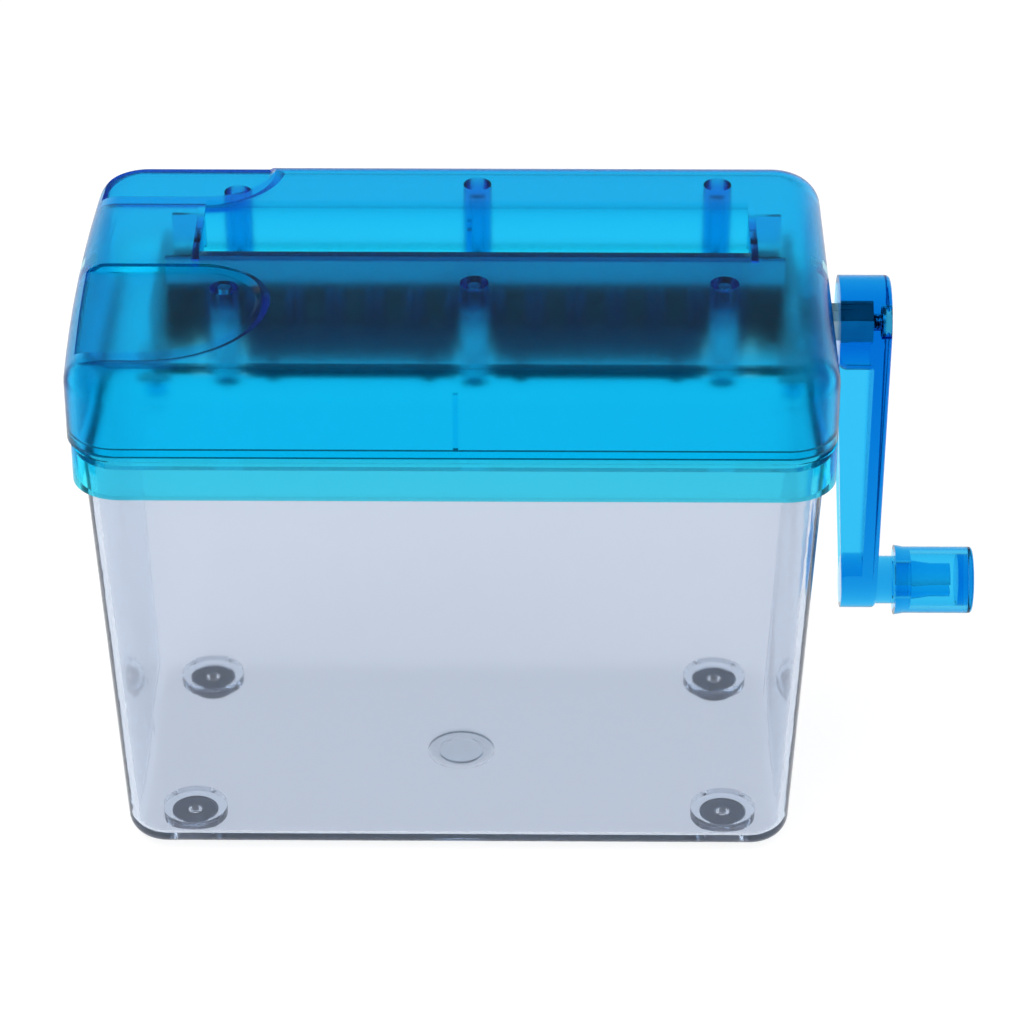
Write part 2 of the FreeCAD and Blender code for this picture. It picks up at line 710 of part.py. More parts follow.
def make_frame():
    """Lower rim and mechanism plate: a skirt over the bin, a tongue for the cover, seats and bosses."""
    skirt = cut("skirt", rim_block("skirt_outer", as_size(0), (skirt_bottom, plate_top)),
                [rim_block("skirt_inner", at.shell_wall, (skirt_bottom, plate_bottom))])
    ledge = rim_block("ledge_outer", at.seam_ledge, (plate_top, ledge_top))
    tongue = rim_block("tongue_outer", tongue_inset, (ledge_top, tongue_top))
    well = rim_block("tongue_inner", at.shell_wall, (plate_top, tongue_top))
    rim = cut("frame_rim", fuse("frame_stack", [skirt, ledge, tongue]), [well])
    seats, holes = [], []
    for row, y in (("front", front_post_row), ("rear", rear_post_row)):
        for number, x in enumerate(post_columns, start=1):
            seats.append(upright(f"{row}_seat_{number}", at.post_radius + at.post_seat_margin, x, y,
                                 (plate_bottom, ledge_top)))
            holes.append(upright(f"{row}_seat_hole_{number}", at.screw_radius + at.screw_clearance, x, y,
                                 (plate_bottom, ledge_top)))
    bosses = []
    for name, x, y in bracket_screw_places():
        bosses.append(upright(f"{name}_boss", at.bracket_boss_radius, x, y,
                              (plate_bottom - at.bracket_boss_height, plate_top)))
        holes.append(upright(f"{name}_boss_hole", at.screw_radius + at.screw_clearance, x, y,
                             (plate_top - at.bracket_screw_length - at.screw_hole_spare, plate_top)))
    for comb in comb_places():
        for x in comb_pegs(comb):
            holes.append(upright(f"{comb.name}_peg_hole_{len(holes)}",
                                 at.comb_peg_radius + at.comb_peg_clearance, x, comb_peg_row(comb),
                                 (plate_bottom, plate_top)))
    outlet_reach = at.disc_radius + at.outlet_gap / 2
    outlet = box("outlet", (left_plate_face, right_plate_face),
                 (front_axis - outlet_reach, rear_axis + outlet_reach),
                 (plate_bottom - at.plate_thickness, plate_top + at.plate_thickness))
    for end, face, way in BRACKET_ENDS:
        stations = between(face, face + way * (at.bearing_plate + at.bush_trough_clearance))
        for side, y in (("front", front_axis), ("rear", rear_axis)):
            holes.append(lying(f"{end}_{side}_bush_trough", at.bush_radius + at.bush_trough_clearance,
                               stations, y, axis_z))
    solid = fuse("frame_solid", [rim] + seats + bosses)
    return {"base_frame": cut("base_frame", solid, [outlet] + holes + shaft_notch("frame"))}


def comb_places():
    """The four combs, two on each roller, between neighbouring screw posts."""
    places = []
    for side, way in (("front", -1), ("rear", 1)):
        for end, (left, right) in (("left", post_columns[:2]), ("right", post_columns[1:])):
            axis, first = (front_axis, 0) if side == "front" else (rear_axis, 1)
            places.append(SimpleNamespace(
                name=f"{side}_{end}_comb", way=way, axis=axis, first=first,
                left=left + at.comb_post_gap, right=right - at.comb_post_gap,
                face=axis + way * (at.disc_radius + at.comb_gap)))
    return places


def comb_pegs(comb):
    return [comb.left + at.comb_peg_inset, comb.right - at.comb_peg_inset]


def comb_peg_row(comb):
    return comb.face + comb.way * at.comb_depth / 2


def between(start, end):
    """Two limits in rising order."""
    return (start, end) if start.number < end.number else (end, start)


def make_combs():
    """Black stripper combs: a bar on the plate, pegs through it, and a finger into each gap between discs."""
    nodes = {}
    for comb in comb_places():
        heights = (plate_top, plate_top + at.comb_height)
        bar = box(f"{comb.name}_bar", (comb.left, comb.right),
                  between(comb.face, comb.face + comb.way * at.comb_depth), heights)
        pieces = [bar]
        for number, x in enumerate(comb_pegs(comb), start=1):
            pieces.append(upright(f"{comb.name}_peg_{number}", at.comb_peg_radius, x, comb_peg_row(comb),
                                  (plate_bottom, plate_top + at.comb_height / 2)))
        finger_half = disc_pitch / 2 - at.disc_thickness / 2 - at.comb_finger_gap
        tip = comb.axis + comb.way * (spacer_radius + at.comb_gap / 2)
        for number in range(front_count - 1 - comb.first):
            x = slot_middle + disc_pitch * (number - (front_count - 2 - comb.first) / 2)
            if (x - finger_half - comb.left).number > 0 and (comb.right - x - finger_half).number > 0:
                pieces.append(box(f"{comb.name}_finger_{number}", (x - finger_half, x + finger_half),
                                  between(comb.face + comb.way * at.comb_depth / 2, tip), heights))
        nodes[comb.name] = fuse(comb.name, pieces)
    return nodes


BRACKET_ENDS = (("left", left_plate_face, -1), ("right", right_plate_face, 1))
bracket_front = front_axis - at.bearing_side_margin
bracket_rear = rear_axis + at.bearing_side_margin


def bracket_screw_places():
    """One screw through each ear of both bearing brackets, in front of the bars and behind them."""
    places = []
    for end, face, way in BRACKET_ENDS:
        x = face + way * at.bearing_plate / 2
        for side, y in (("front", bracket_front - at.bracket_ear_length / 2),
                        ("rear", bracket_rear + at.bracket_ear_length / 2)):
            places.append((f"{end}_{side}_bracket", x, y))
    return places


def make_brackets():
    """Moulded brackets that carry both rollers in their bush holes, each held by two ears."""
    nodes, screws = {}, []
    for end, face, way in BRACKET_ENDS:
        outside = face + way * at.bearing_plate
        middle = face + way * at.bearing_plate / 2
        foot = plate_top + at.contact_gap
        pieces = [box(f"{end}_bracket_wall", between(face, outside), (bracket_front, bracket_rear),
                      (foot, axis_z + at.bearing_height_over_axis))]
        ear_x = (middle - at.bracket_ear_width / 2, middle + at.bracket_ear_width / 2)
        for side, y in (("front", (bracket_front - at.bracket_ear_length, bracket_front)),
                        ("rear", (bracket_rear, bracket_rear + at.bracket_ear_length))):
            pieces.append(box(f"{end}_{side}_ear", ear_x, y, (foot, plate_top + at.bearing_plate)))
        stations = between(face - way * at.bearing_plate, outside + way * at.bearing_plate)
        holes = [lying(f"{end}_{side}_bush_hole", at.bush_radius + at.running_clearance, stations, y, axis_z)
                 for side, y in (("front", front_axis), ("rear", rear_axis))]
        for name, x, y in bracket_screw_places():
            if name.startswith(end):
                holes.append(upright(f"{name}_hole", at.screw_radius + at.screw_clearance, x, y,
                                     (plate_top, plate_top + at.bearing_plate)))
        label = f"{end}_bearing_plate"
        nodes[label] = cut(label, fuse(f"{end}_bracket", pieces), holes)
    for name, x, y in bracket_screw_places():
        top = plate_top + at.bearing_plate
        shank = upright(f"{name}_shank", at.screw_radius, x, y, (plate_top - at.bracket_screw_length, top))
        head = upright(f"{name}_head", at.screw_head_radius, x, y, (top, top + at.screw_head_height))
        screws.append(fuse(f"{name}_screw", [shank, head]))
    nodes["bearing_plate_screws"] = group("bearing_plate_screws", screws)
    return nodes


def make_cover_screws():
    """Six screws from under the plate into the cover's posts."""
    screws = []
    for row, y in (("front", front_post_row), ("rear", rear_post_row)):
        for number, x in enumerate(post_columns, start=1):
            shank = upright(f"{row}_shank_{number}", at.screw_radius, x, y,
                            (plate_bottom, cover_bottom + at.screw_grip))
            head = upright(f"{row}_head_{number}", at.screw_head_radius, x, y,
                           (plate_bottom - at.screw_head_height, plate_bottom))
            screws.append(fuse(f"{row}_screw_{number}", [shank, head]))
    return {"cover_screws": group("cover_screws", screws)}


def gear_wire(teeth, module, backlash):
    """One gear outline in the YZ plane: involute flanks, arcs at tips and roots, a tooth towards +Y."""
    pitch = module * teeth / 2
    tip = pitch + ADDENDUM_SHARE * module
    root = pitch - DEDENDUM_SHARE * module
    base = pitch * math.cos(PRESSURE_ANGLE)
    start = max(base, root)
    half_tooth = (math.pi * module / 2 - backlash) / 2 / pitch + math.tan(PRESSURE_ANGLE) - PRESSURE_ANGLE

    def spot(radius, angle):
        return Vector(0, radius * math.cos(angle), radius * math.sin(angle))

    def flank(middle, way):
        """Points of one flank from foot to tip: the angle falls as the involute of the base circle."""
        points = []
        for step in range(FLANK_POINTS):
            radius = start + (tip - start) * step / (FLANK_POINTS - 1)
            roll = math.acos(min(base / radius, 1.0))
            points.append(spot(radius, middle + way * (half_tooth - (math.tan(roll) - roll))))
        return points

    edges = []
    step = 2 * math.pi / teeth
    for tooth in range(teeth):
        middle = tooth * step
        rising, falling = flank(middle, -1), flank(middle, 1)
        next_rising = flank(middle + step, -1)
        foot = spot(root, math.atan2(falling[0].z, falling[0].y))
        next_foot = spot(root, math.atan2(next_rising[0].z, next_rising[0].y))
        own_foot = spot(root, math.atan2(rising[0].z, rising[0].y))
        edges.append(Part.makeLine(own_foot, rising[0]))
        edges += [Part.makeLine(a, b) for a, b in zip(rising, rising[1:])]
        edges.append(Part.Arc(rising[-1], spot(tip, middle), falling[-1]).toShape())
        edges += [Part.makeLine(a, b) for a, b in zip(falling[::-1], falling[-2::-1])]
        edges.append(Part.makeLine(falling[0], foot))
        edges.append(Part.Arc(foot, spot(root, middle + step / 2), next_foot).toShape())
    return Part.Wire(edges)


def make_gear(name, x, y):
    """A spur gear on a hexagonal bar, its left face at x."""
    module = at.axle_spacing.number / GEAR_TEETH
    face = Part.Face(gear_wire(GEAR_TEETH, module, at.gear_backlash.number))
    blank = doc.addObject("Part::Feature", f"{name}_blank")
    blank.Shape = face.extrude(Vector(at.gear_width.number, 0, 0))
    place(blank, x, y, axis_z)
    bore = lying_hexagon(f"{name}_bore", bar_bore_radius, (x, x + at.gear_width), y, axis_z)
    return cut(name, blank, [bore])


def ring(name, radius, x, y):
    """A round piece on a hexagonal bar between two stations."""
    blank = lying(f"{name}_blank", radius, x, y, axis_z)
    return cut(name, blank, [lying_hexagon(f"{name}_bore", bar_bore_radius, x, y, axis_z)])


def make_bush(name, face, way, y):
    """A flanged bush that turns with its bar; its flange runs on the bearing plate's inner face."""
    flange_outer = face - way * at.end_play
    flange_inner = flange_outer - way * at.bush_flange
    end = face + way * at.bearing_plate
    flange = lying(f"{name}_flange", at.bush_flange_radius, between(flange_inner, flange_outer), y, axis_z)
    barrel = lying(f"{name}_barrel", at.bush_radius, between(flange_inner, end), y, axis_z)
    bore = lying_hexagon(f"{name}_bore", bar_bore_radius, between(flange_inner, end), y, axis_z)
    return cut(name, fuse(f"{name}_blank", [flange, barrel]), [bore])


def make_rollers():
    """Both cutter rollers: hexagonal bar, discs, spacers, a gear at each end, and bushes."""
    nodes = {}
    left_stop = left_plate_face + at.end_play + at.bush_flange
    right_stop = right_plate_face - at.end_play - at.bush_flange
    left_gear_end = left_stop + at.gear_width
    right_gear_start = right_stop - at.gear_width
    for side, y, count in (("front", front_axis, front_count), ("rear", rear_axis, front_count - 1)):
        edges = [left_gear_end]
        for number in range(count):
            middle = slot_middle + disc_pitch * (number - (count - 1) / 2)
            disc = (middle - at.disc_thickness / 2, middle + at.disc_thickness / 2)
            label = f"{side}_disc_{number + 1:02d}"
            nodes[label] = ring(label, at.disc_radius, disc, y)
            edges += disc
        edges.append(right_gear_start)
        spacers = [ring(f"{side}_spacer_{number + 1}", spacer_radius, pair, y)
                   for number, pair in enumerate(zip(edges[::2], edges[1::2]))]
        nodes[f"{side}_spacers"] = group(f"{side}_spacers", spacers)
        for end, face, way, gear_start in (("left", left_plate_face, -1, left_stop),
                                           ("right", right_plate_face, 1, right_gear_start)):
            nodes[f"{side}_{end}_gear"] = make_gear(f"{side}_{end}_gear", gear_start, y)
            nodes[f"{side}_{end}_bush"] = make_bush(f"{side}_{end}_bush", face, way, y)
    bar_start = left_plate_face - at.bearing_plate
    front_bar = lying_hexagon("front_bar", bar_radius, (bar_start, hub_end - at.hub_web), front_axis, axis_z)
    tap = lying("front_shaft_tap", at.crank_screw_radius + at.screw_clearance,
                (hub_end - at.crank_screw_length - at.screw_hole_spare, hub_end), front_axis, axis_z)
    nodes["front_shaft"] = cut("front_shaft", front_bar, [tap])
    rear_bar = (bar_start, right_plate_face + at.bearing_plate)
    nodes["rear_shaft"] = lying_hexagon("rear_shaft", bar_radius, rear_bar, rear_axis, axis_z)
    return nodes


def arm_outline(body, name, inset, x):
    """The arm's tapering outline between its hub and its knob end, sketched square to the bars.

    The sides touch both end circles, so each meets them where the circle's radius is square to the side.
    """
    narrowing = (at.hub_radius - at.arm_end_radius) / at.crank_length
    tilt = Size(f"asin({narrowing.text})", math.degrees(math.asin(narrowing.number)))
    across = Size(f"cos({tilt.text})", math.cos(math.radians(tilt.number)))
    along = Size(f"sin({tilt.text})", math.sin(math.radians(tilt.number)))
    hub = at.hub_radius - inset
    end = at.arm_end_radius - inset
    return outline(body, name, "YZ_Plane", lift=x, corners=[
        (front_axis - end * across, knob_axis_z + end * along),
        (front_axis, knob_axis_z - end, end), (front_axis + end * across, knob_axis_z + end * along, end),
        (front_axis + hub * across, axis_z + hub * along),
        (front_axis, axis_z + hub, hub), (front_axis - hub * across, axis_z + hub * along, hub)])


def make_crank():
    """Crank: a channel-shaped arm with its hub, the knob's neck and split spindle, and its screw."""
    blank = new_body("arm_blank")
    plate = pad(blank, arm_outline(blank, "arm_blank_outline", as_size(0), hub_start), at.hub_length)
    round_edges(blank, plate, "arm_blank_edge", at.arm_edge_round,
                lambda edge: lies_at(edge, [hub_end.number]))
    channel = new_body("arm_channel")
    hollow = arm_outline(channel, "arm_channel_outline", at.arm_wall, hub_start)
    pad(channel, hollow, at.hub_length - at.arm_plate)
    far = at.crank_length + at.hub_radius + at.arm_end_radius
    slant_body = new_body("arm_slant")
    slant = outline(slant_body, "arm_slant_profile", "XZ_Plane", [
        (hub_start - at.hub_length, knob_axis_z - far), (hub_start + at.arm_taper, knob_axis_z - far),
        (hub_start + at.arm_taper, knob_axis_z), (hub_start, axis_z - at.hub_radius),
        (hub_start - at.hub_length, axis_z - at.hub_radius)])
    pad(slant_body, slant, 2 * far, both_ways=True)
    hub = rounded_bar("hub_sleeve", at.hub_radius, (hub_start, hub_end), front_axis, axis_z,
                      at.hub_edge_round, (hub_start, hub_end))
    boss_start = hub_start + at.arm_taper
    boss = rounded_bar("spindle_boss", at.arm_end_radius, (boss_start, hub_end), front_axis, knob_axis_z,
                       at.arm_edge_round, (boss_start, hub_end))
    neck = lying("knob_neck", at.neck_radius, (hub_end - at.arm_plate / 2, hub_end + at.neck_length),
                 front_axis, knob_axis_z)
    barb_start = knob_start + at.knob_inner_end + at.knob_play
    spindle_end = hub_end + at.neck_length + at.spindle_length
    spindle = lying("spindle_bar", at.spindle_radius, (hub_end, spindle_end), front_axis, knob_axis_z)
    barb_radius = at.spindle_radius + at.spindle_barb
    barb = lying_cone("spindle_barb", (barb_radius, at.spindle_radius - at.spindle_barb),
                      (barb_start, spindle_end), front_axis, knob_axis_z)
    split = box("spindle_split", (hub_end + at.neck_length, spindle_end),
                (front_axis - barb_radius, front_axis + barb_radius),
                (knob_axis_z - at.spindle_split / 2, knob_axis_z + at.spindle_split / 2))
    arm = cut("arm_tapered", cut("arm_open", blank, [channel]), [slant_body])
    solid = fuse("crank_solid", [arm, hub, boss, neck, spindle, barb])
    socket = lying_hexagon("hub_socket", bar_bore_radius, (hub_start, hub_end - at.hub_web),
                           front_axis, axis_z)
    screw_hole = lying("hub_screw_hole", at.crank_screw_radius + at.screw_clearance, (hub_start, hub_end),
                       front_axis, axis_z)
    head_seat = hub_end - at.crank_screw_head_height
    counterbore = lying("hub_counterbore", at.crank_screw_head_radius + at.screw_clearance,
                        (head_seat, hub_end), front_axis, axis_z)
    shank = lying("crank_screw_shank", at.crank_screw_radius, (hub_end - at.crank_screw_length, hub_end),
                  front_axis, axis_z)
    head = lying("crank_screw_head", at.crank_screw_head_radius, (head_seat, hub_end), front_axis, axis_z)
    return {"crank_arm": cut("crank_arm", solid, [split, socket, screw_hole, counterbore]),
            "crank_screw": fuse("crank_screw", [shank, head])}


def make_knob():
    """Hollow knob that turns on the spindle, closed by a plugged cap."""
    knob_end = knob_start + at.knob_length
    cap_start = knob_end - at.knob_cap
    grip = lying("knob_grip", at.knob_radius, (knob_start, cap_start), front_axis, knob_axis_z)
    flare = lying_cone("knob_flare", (at.knob_radius + at.knob_flare, at.knob_radius),
                       (knob_start, knob_start + at.knob_flare_length), front_axis, knob_axis_z)
    hollow_radius = at.knob_radius - at.knob_wall
    hollow = lying("knob_hollow", hollow_radius, (knob_start + at.knob_inner_end, cap_start),
                   front_axis, knob_axis_z)
    bore = lying("knob_bore", at.spindle_radius + at.running_clearance,
                 (knob_start, knob_start + at.knob_inner_end), front_axis, knob_axis_z)
    plate_start = cap_start + at.contact_gap
    cap_plug = lying("cap_plug", hollow_radius - at.bar_clearance,
                     (cap_start - at.knob_cap_plug, plate_start), front_axis, knob_axis_z)
    cap_plate = rounded_bar("cap_plate", at.knob_radius, (plate_start, knob_end), front_axis, knob_axis_z,
                            at.knob_edge_round, (knob_end,))
    return {"crank_knob": cut("crank_knob", fuse("knob_solid", [grip, flare]), [hollow, bore]),
            "knob_end_cap": fuse("knob_end_cap", [cap_plug, cap_plate])}


def check_and_write(nodes):
    """Stops if any object failed or any shape is empty or invalid, then writes one file per node."""
    doc.recompute()
    failed = [thing.Name for thing in doc.Objects if {"Invalid", "Error"} & set(thing.State)]
    if failed:
        raise RuntimeError(f"failed objects: {failed}")
    for label, node in nodes.items():
        node.Label = label
        if node.Shape.isNull() or not node.Shape.isValid() or not node.Shape.Solids:
            raise RuntimeError(f"{label} has no sound shape")
    os.makedirs("parts", exist_ok=True)
    for label, node in nodes.items():
        node.Shape.exportStep(os.path.join("parts", f"{label}.step"))
        print(f"{label}: {len(node.Shape.Solids)} solid(s), {node.Shape.Volume:.1f} mm3")


nodes = {}
for maker in (make_bin, make_cover, make_frame, make_combs, make_brackets, make_cover_screws, make_rollers,
              make_crank, make_knob):
    nodes.update(maker())
check_and_write(nodes)
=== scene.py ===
# %% [markdown]
# # A hand-cranked desk shredder
# The real object is a clear bin with a see-through blue head on it. A crank at the right end turns two rows
# of cutter discs, and the strips of paper fall into the bin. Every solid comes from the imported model, so this
# lesson is about finishes first: see-through plastics, which show each other and the dark works inside. Small
# things that a solid model keeps plain, such as screw threads, are then worked out as surfaces.

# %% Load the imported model
import math

import bpy
import numpy as np
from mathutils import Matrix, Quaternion, Vector


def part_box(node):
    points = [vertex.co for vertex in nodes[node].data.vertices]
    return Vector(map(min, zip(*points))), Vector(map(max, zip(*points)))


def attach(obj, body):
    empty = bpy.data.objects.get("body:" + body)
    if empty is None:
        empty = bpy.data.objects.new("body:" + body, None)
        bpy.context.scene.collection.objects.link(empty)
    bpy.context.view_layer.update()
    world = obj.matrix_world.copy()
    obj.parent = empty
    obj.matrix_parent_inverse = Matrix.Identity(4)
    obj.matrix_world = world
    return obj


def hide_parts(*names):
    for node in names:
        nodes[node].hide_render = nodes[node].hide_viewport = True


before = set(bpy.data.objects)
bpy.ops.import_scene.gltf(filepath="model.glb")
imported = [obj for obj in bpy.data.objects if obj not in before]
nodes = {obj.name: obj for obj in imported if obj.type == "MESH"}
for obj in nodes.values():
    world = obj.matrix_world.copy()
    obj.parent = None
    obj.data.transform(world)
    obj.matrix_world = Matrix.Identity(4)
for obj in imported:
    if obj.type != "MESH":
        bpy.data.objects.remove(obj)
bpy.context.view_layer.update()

scene = bpy.context.scene
scene.view_settings.view_transform = "Standard"

# %% [markdown]
# ## The camera
# The photograph was taken from the front and a good way above, with a long lens, so upright edges stay nearly
# parallel. A camera could be placed by eye. Here its place and direction were worked out from the corners of
# the lid and the bin, so the render can be laid over the photograph.

# %% Camera
CAMERA_PLACE = Vector((0.017163, -0.69188, 0.472253))
CAMERA_LOOK = Vector((-0.00784, 0.8592, -0.5115))
CAMERA_ROLL = math.radians(-0.054)
SENSOR_WIDTH = 36.0
LENS = 137.85
camera = bpy.data.objects.new("photo_camera", bpy.data.cameras.new("photo_camera"))
camera.data.sensor_width = SENSOR_WIDTH
camera.data.lens = LENS
camera.location = CAMERA_PLACE
camera.rotation_mode = "QUATERNION"
camera.rotation_quaternion = CAMERA_LOOK.to_track_quat("-Z", "Y") @ Quaternion((0, 0, 1), CAMERA_ROLL)
scene.collection.objects.link(camera)
scene.camera = camera
print(f"camera at {tuple(round(v, 3) for v in camera.location)}")

# %% [markdown]
# ## Helpers for finishes
# Each finish is one Principled shader, with a few patterns around it. A pattern could be painted on a
# picture, but a picture needs a map for every solid. Noise that is read from Object coordinates needs none:
# it has the same size in metres on every piece, and it stays in place when the crank turns.

# %% Finish helpers
# Most of a noise lies between these two values.
NOISE_LOW, NOISE_HIGH = 0.3, 0.7


def new_finish(name, **sockets):
    """A material with one Principled shader, whose sockets are set straight from the given numbers."""
    finish = bpy.data.materials.new(name)
    finish.use_nodes = True
    shader = finish.node_tree.nodes["Principled BSDF"]
    for socket, value in sockets.items():
        shader.inputs[socket.replace("_", " ")].default_value = value
    return finish, finish.node_tree, shader


def grain(tree, scale, detail=3.0, stretch=(1.0, 1.0, 1.0)):
    """Noise between 0 and 1 on Object coordinates: scale is in cycles for each metre, times stretch on an
    axis."""
    place = tree.nodes.new("ShaderNodeTexCoord")
    turn = tree.nodes.new("ShaderNodeMapping")
    noise = tree.nodes.new("ShaderNodeTexNoise")
    turn.inputs["Scale"].default_value = stretch
    noise.inputs["Scale"].default_value = scale
    noise.inputs["Detail"].default_value = detail
    tree.links.new(place.outputs["Object"], turn.inputs["Vector"])
    tree.links.new(turn.outputs["Vector"], noise.inputs["Vector"])
    return noise.outputs["Fac"]


def spread(tree, value, low, high, start=NOISE_LOW, end=NOISE_HIGH):
    """Straight line through (start, low) and (end, high), held at both ends."""
    line = tree.nodes.new("ShaderNodeMapRange")
    for socket, number in (("From Min", start), ("From Max", end), ("To Min", low), ("To Max", high)):
        line.inputs[socket].default_value = number
    tree.links.new(value, line.inputs["Value"])
    return line.outputs["Result"]


def shades(tree, value, dark, light):
    """Colour that runs from dark to light as the value goes over the span of a noise."""
    ramp = tree.nodes.new("ShaderNodeValToRGB")
    for stop, place, colour in zip(ramp.color_ramp.elements, (NOISE_LOW, NOISE_HIGH), (dark, light)):
        stop.position = place
        stop.color = (*colour, 1.0)
    tree.links.new(value, ramp.inputs["Fac"])
    return ramp.outputs["Color"]


def relief(tree, shader, height, depth, strength=1.0):
    """Bumps the surface: a height of 1 stands the given depth, in metres, above a height of 0."""
    bump = tree.nodes.new("ShaderNodeBump")
    bump.inputs["Strength"].default_value = strength
    bump.inputs["Distance"].default_value = depth
    tree.links.new(height, bump.inputs["Height"])
    tree.links.new(bump.outputs["Normal"], shader.inputs["Normal"])


def absorb(tree, colour, density):
    """Fills the solid with dye: light fades by (1 - colour) times density for each metre that it crosses."""
    dye = tree.nodes.new("ShaderNodeVolumeAbsorption")
    dye.inputs["Color"].default_value = (*colour, 1.0)
    dye.inputs["Density"].default_value = density
    tree.links.new(dye.outputs["Volume"], tree.nodes["Material Output"].inputs["Volume"])


def dress(finish, *names):
    """Gives each named solid this finish alone."""
    for name in names:
        mesh = nodes[name].data
        mesh.materials.clear()
        mesh.materials.append(finish)
    print(f"{finish.name}: {len(names)} solid(s)")


print("helpers for finishes")

# %% [markdown]
# ## Helpers for places
# Some places on one moulding look different, such as a milky spot in a clear floor. They could be cut out as
# pieces of their own, but then the edges of the cut would show inside see-through plastic. A mask leaves the
# solid whole: a value worked out from the Object coordinates, which a shader's socket follows.

# %% Place helpers
def coordinate(tree, axis):
    """The Object coordinate of this name, in metres."""
    place = tree.nodes.new("ShaderNodeTexCoord")
    parts = tree.nodes.new("ShaderNodeSeparateXYZ")
    tree.links.new(place.outputs["Object"], parts.inputs["Vector"])
    return parts.outputs[axis]


def times(tree, first, second):
    """The first value multiplied by the second."""
    both = tree.nodes.new("ShaderNodeMath")
    both.operation = "MULTIPLY"
    tree.links.new(first, both.inputs[0])
    tree.links.new(second, both.inputs[1])
    return both.outputs[0]


def within(tree, **limits):
    """1 where each named Object coordinate is between its two limits in metres, and 0 elsewhere."""
    inside = None
    for axis, (low, high) in limits.items():
        share = tree.nodes.new("ShaderNodeMath")
        share.operation = "COMPARE"
        share.inputs[1].default_value = (low + high) / 2
        share.inputs[2].default_value = (high - low) / 2
        tree.links.new(coordinate(tree, axis), share.inputs[0])
        inside = times(tree, inside, share.outputs[0]) if inside else share.outputs[0]
    return inside


def from_axis(tree):
    """Distance in metres from the upright middle line: the length of the Object coordinates without Z."""
    place = tree.nodes.new("ShaderNodeTexCoord")
    flat = tree.nodes.new("ShaderNodeVectorMath")
    flat.operation = "MULTIPLY"
    flat.inputs[1].default_value = (1.0, 1.0, 0.0)
    reach = tree.nodes.new("ShaderNodeVectorMath")
    reach.operation = "LENGTH"
    tree.links.new(place.outputs["Object"], flat.inputs[0])
    tree.links.new(flat.outputs["Vector"], reach.inputs[0])
    return reach.outputs["Value"]


print("helpers for places")

# %% [markdown]
# ## Clear bin
# The bin is moulded from clear polystyrene. Seen straight through a wall it is almost white, and along a wall
# it turns bluish grey, because light crosses more plastic there. A thin tint on the surface would colour both
# alike, so the colour is a faint dye inside the solid, with slow waves on it from the flow of the melt. A
# small share of the light is scattered, or else edges that trap light would turn black. In the middle of the
# floor, where the melt came in, a round spot scatters more.

# %% Clear bin
# Clear is the share of light that goes on through. The rim of the spot is between two radii, in metres.
BIN_DYE = (0.3, 0.62, 0.97)
GATE_CLEAR, WALL_CLEAR = 0.78, 0.93
GATE_RIM = (0.0062, 0.0072)
bin_clear, tree, shader = new_finish("bin_clear", Base_Color=(0.85, 0.87, 0.92, 1.0), IOR=1.22)
gate = spread(tree, from_axis(tree), GATE_CLEAR, WALL_CLEAR, *GATE_RIM)
tree.links.new(gate, shader.inputs["Transmission Weight"])
tree.links.new(spread(tree, grain(tree, 40.0), 0.03, 0.07), shader.inputs["Roughness"])
relief(tree, shader, grain(tree, 28.0, detail=1.0), 0.0004, 0.25)
absorb(tree, BIN_DYE, 38.0)
dress(bin_clear, "waste_bin")

# %% [markdown]
# ## Milky brackets
# Two brackets carry the rollers at the ends of the head. Through the blue wall they are hardly seen, which a
# fully clear plastic would not give: its edges would trap light and stand there as dark bars. So half of the
# light is scattered and the index of refraction is low, and the brackets melt into the blue.

# %% Brackets
bracket_clear, tree, shader = new_finish("bracket_clear", Base_Color=(0.86, 0.9, 0.94, 1.0), IOR=1.1,
                                         Transmission_Weight=0.5)
tree.links.new(spread(tree, grain(tree, 400.0), 0.16, 0.24), shader.inputs["Roughness"])
relief(tree, shader, grain(tree, 60.0, detail=1.0), 0.0002, 0.2)
dress(bracket_clear, "left_bearing_plate", "right_bearing_plate")

# %% [markdown]
# ## Blue plastic
# Cover, base frame and crank are moulded from see-through plastic with a blue dye in it. A blue surface would
# give thick and thin places the same colour. With the dye inside the solid, thick places such as the hub turn
# deep blue by themselves, and a thin wall stays bright. A black specular tint keeps the white room from lying
# over the colour as a haze.

# %% Blue plastic
LID_DYE = (0.02, 0.86, 0.985)
CRANK_DYE = (0.1, 0.74, 0.93)


def blue_plastic(name, tint, bend, rough, dye, density):
    """Plastic with dye inside: tint is what its surface lets through, bend its index of refraction, and rough
    its least and greatest roughness."""
    finish, tree, shader = new_finish(name, Base_Color=(*tint, 1.0), Transmission_Weight=1.0, IOR=bend,
                                      Specular_Tint=(0.0, 0.0, 0.0, 1.0))
    tree.links.new(spread(tree, grain(tree, 600.0), *rough), shader.inputs["Roughness"])
    relief(tree, shader, grain(tree, 30.0, detail=1.0), 0.0003, 0.2)
    absorb(tree, dye, density)
    return finish, tree, shader


print(f"dye of the lid {LID_DYE}, of the crank {CRANK_DYE}")
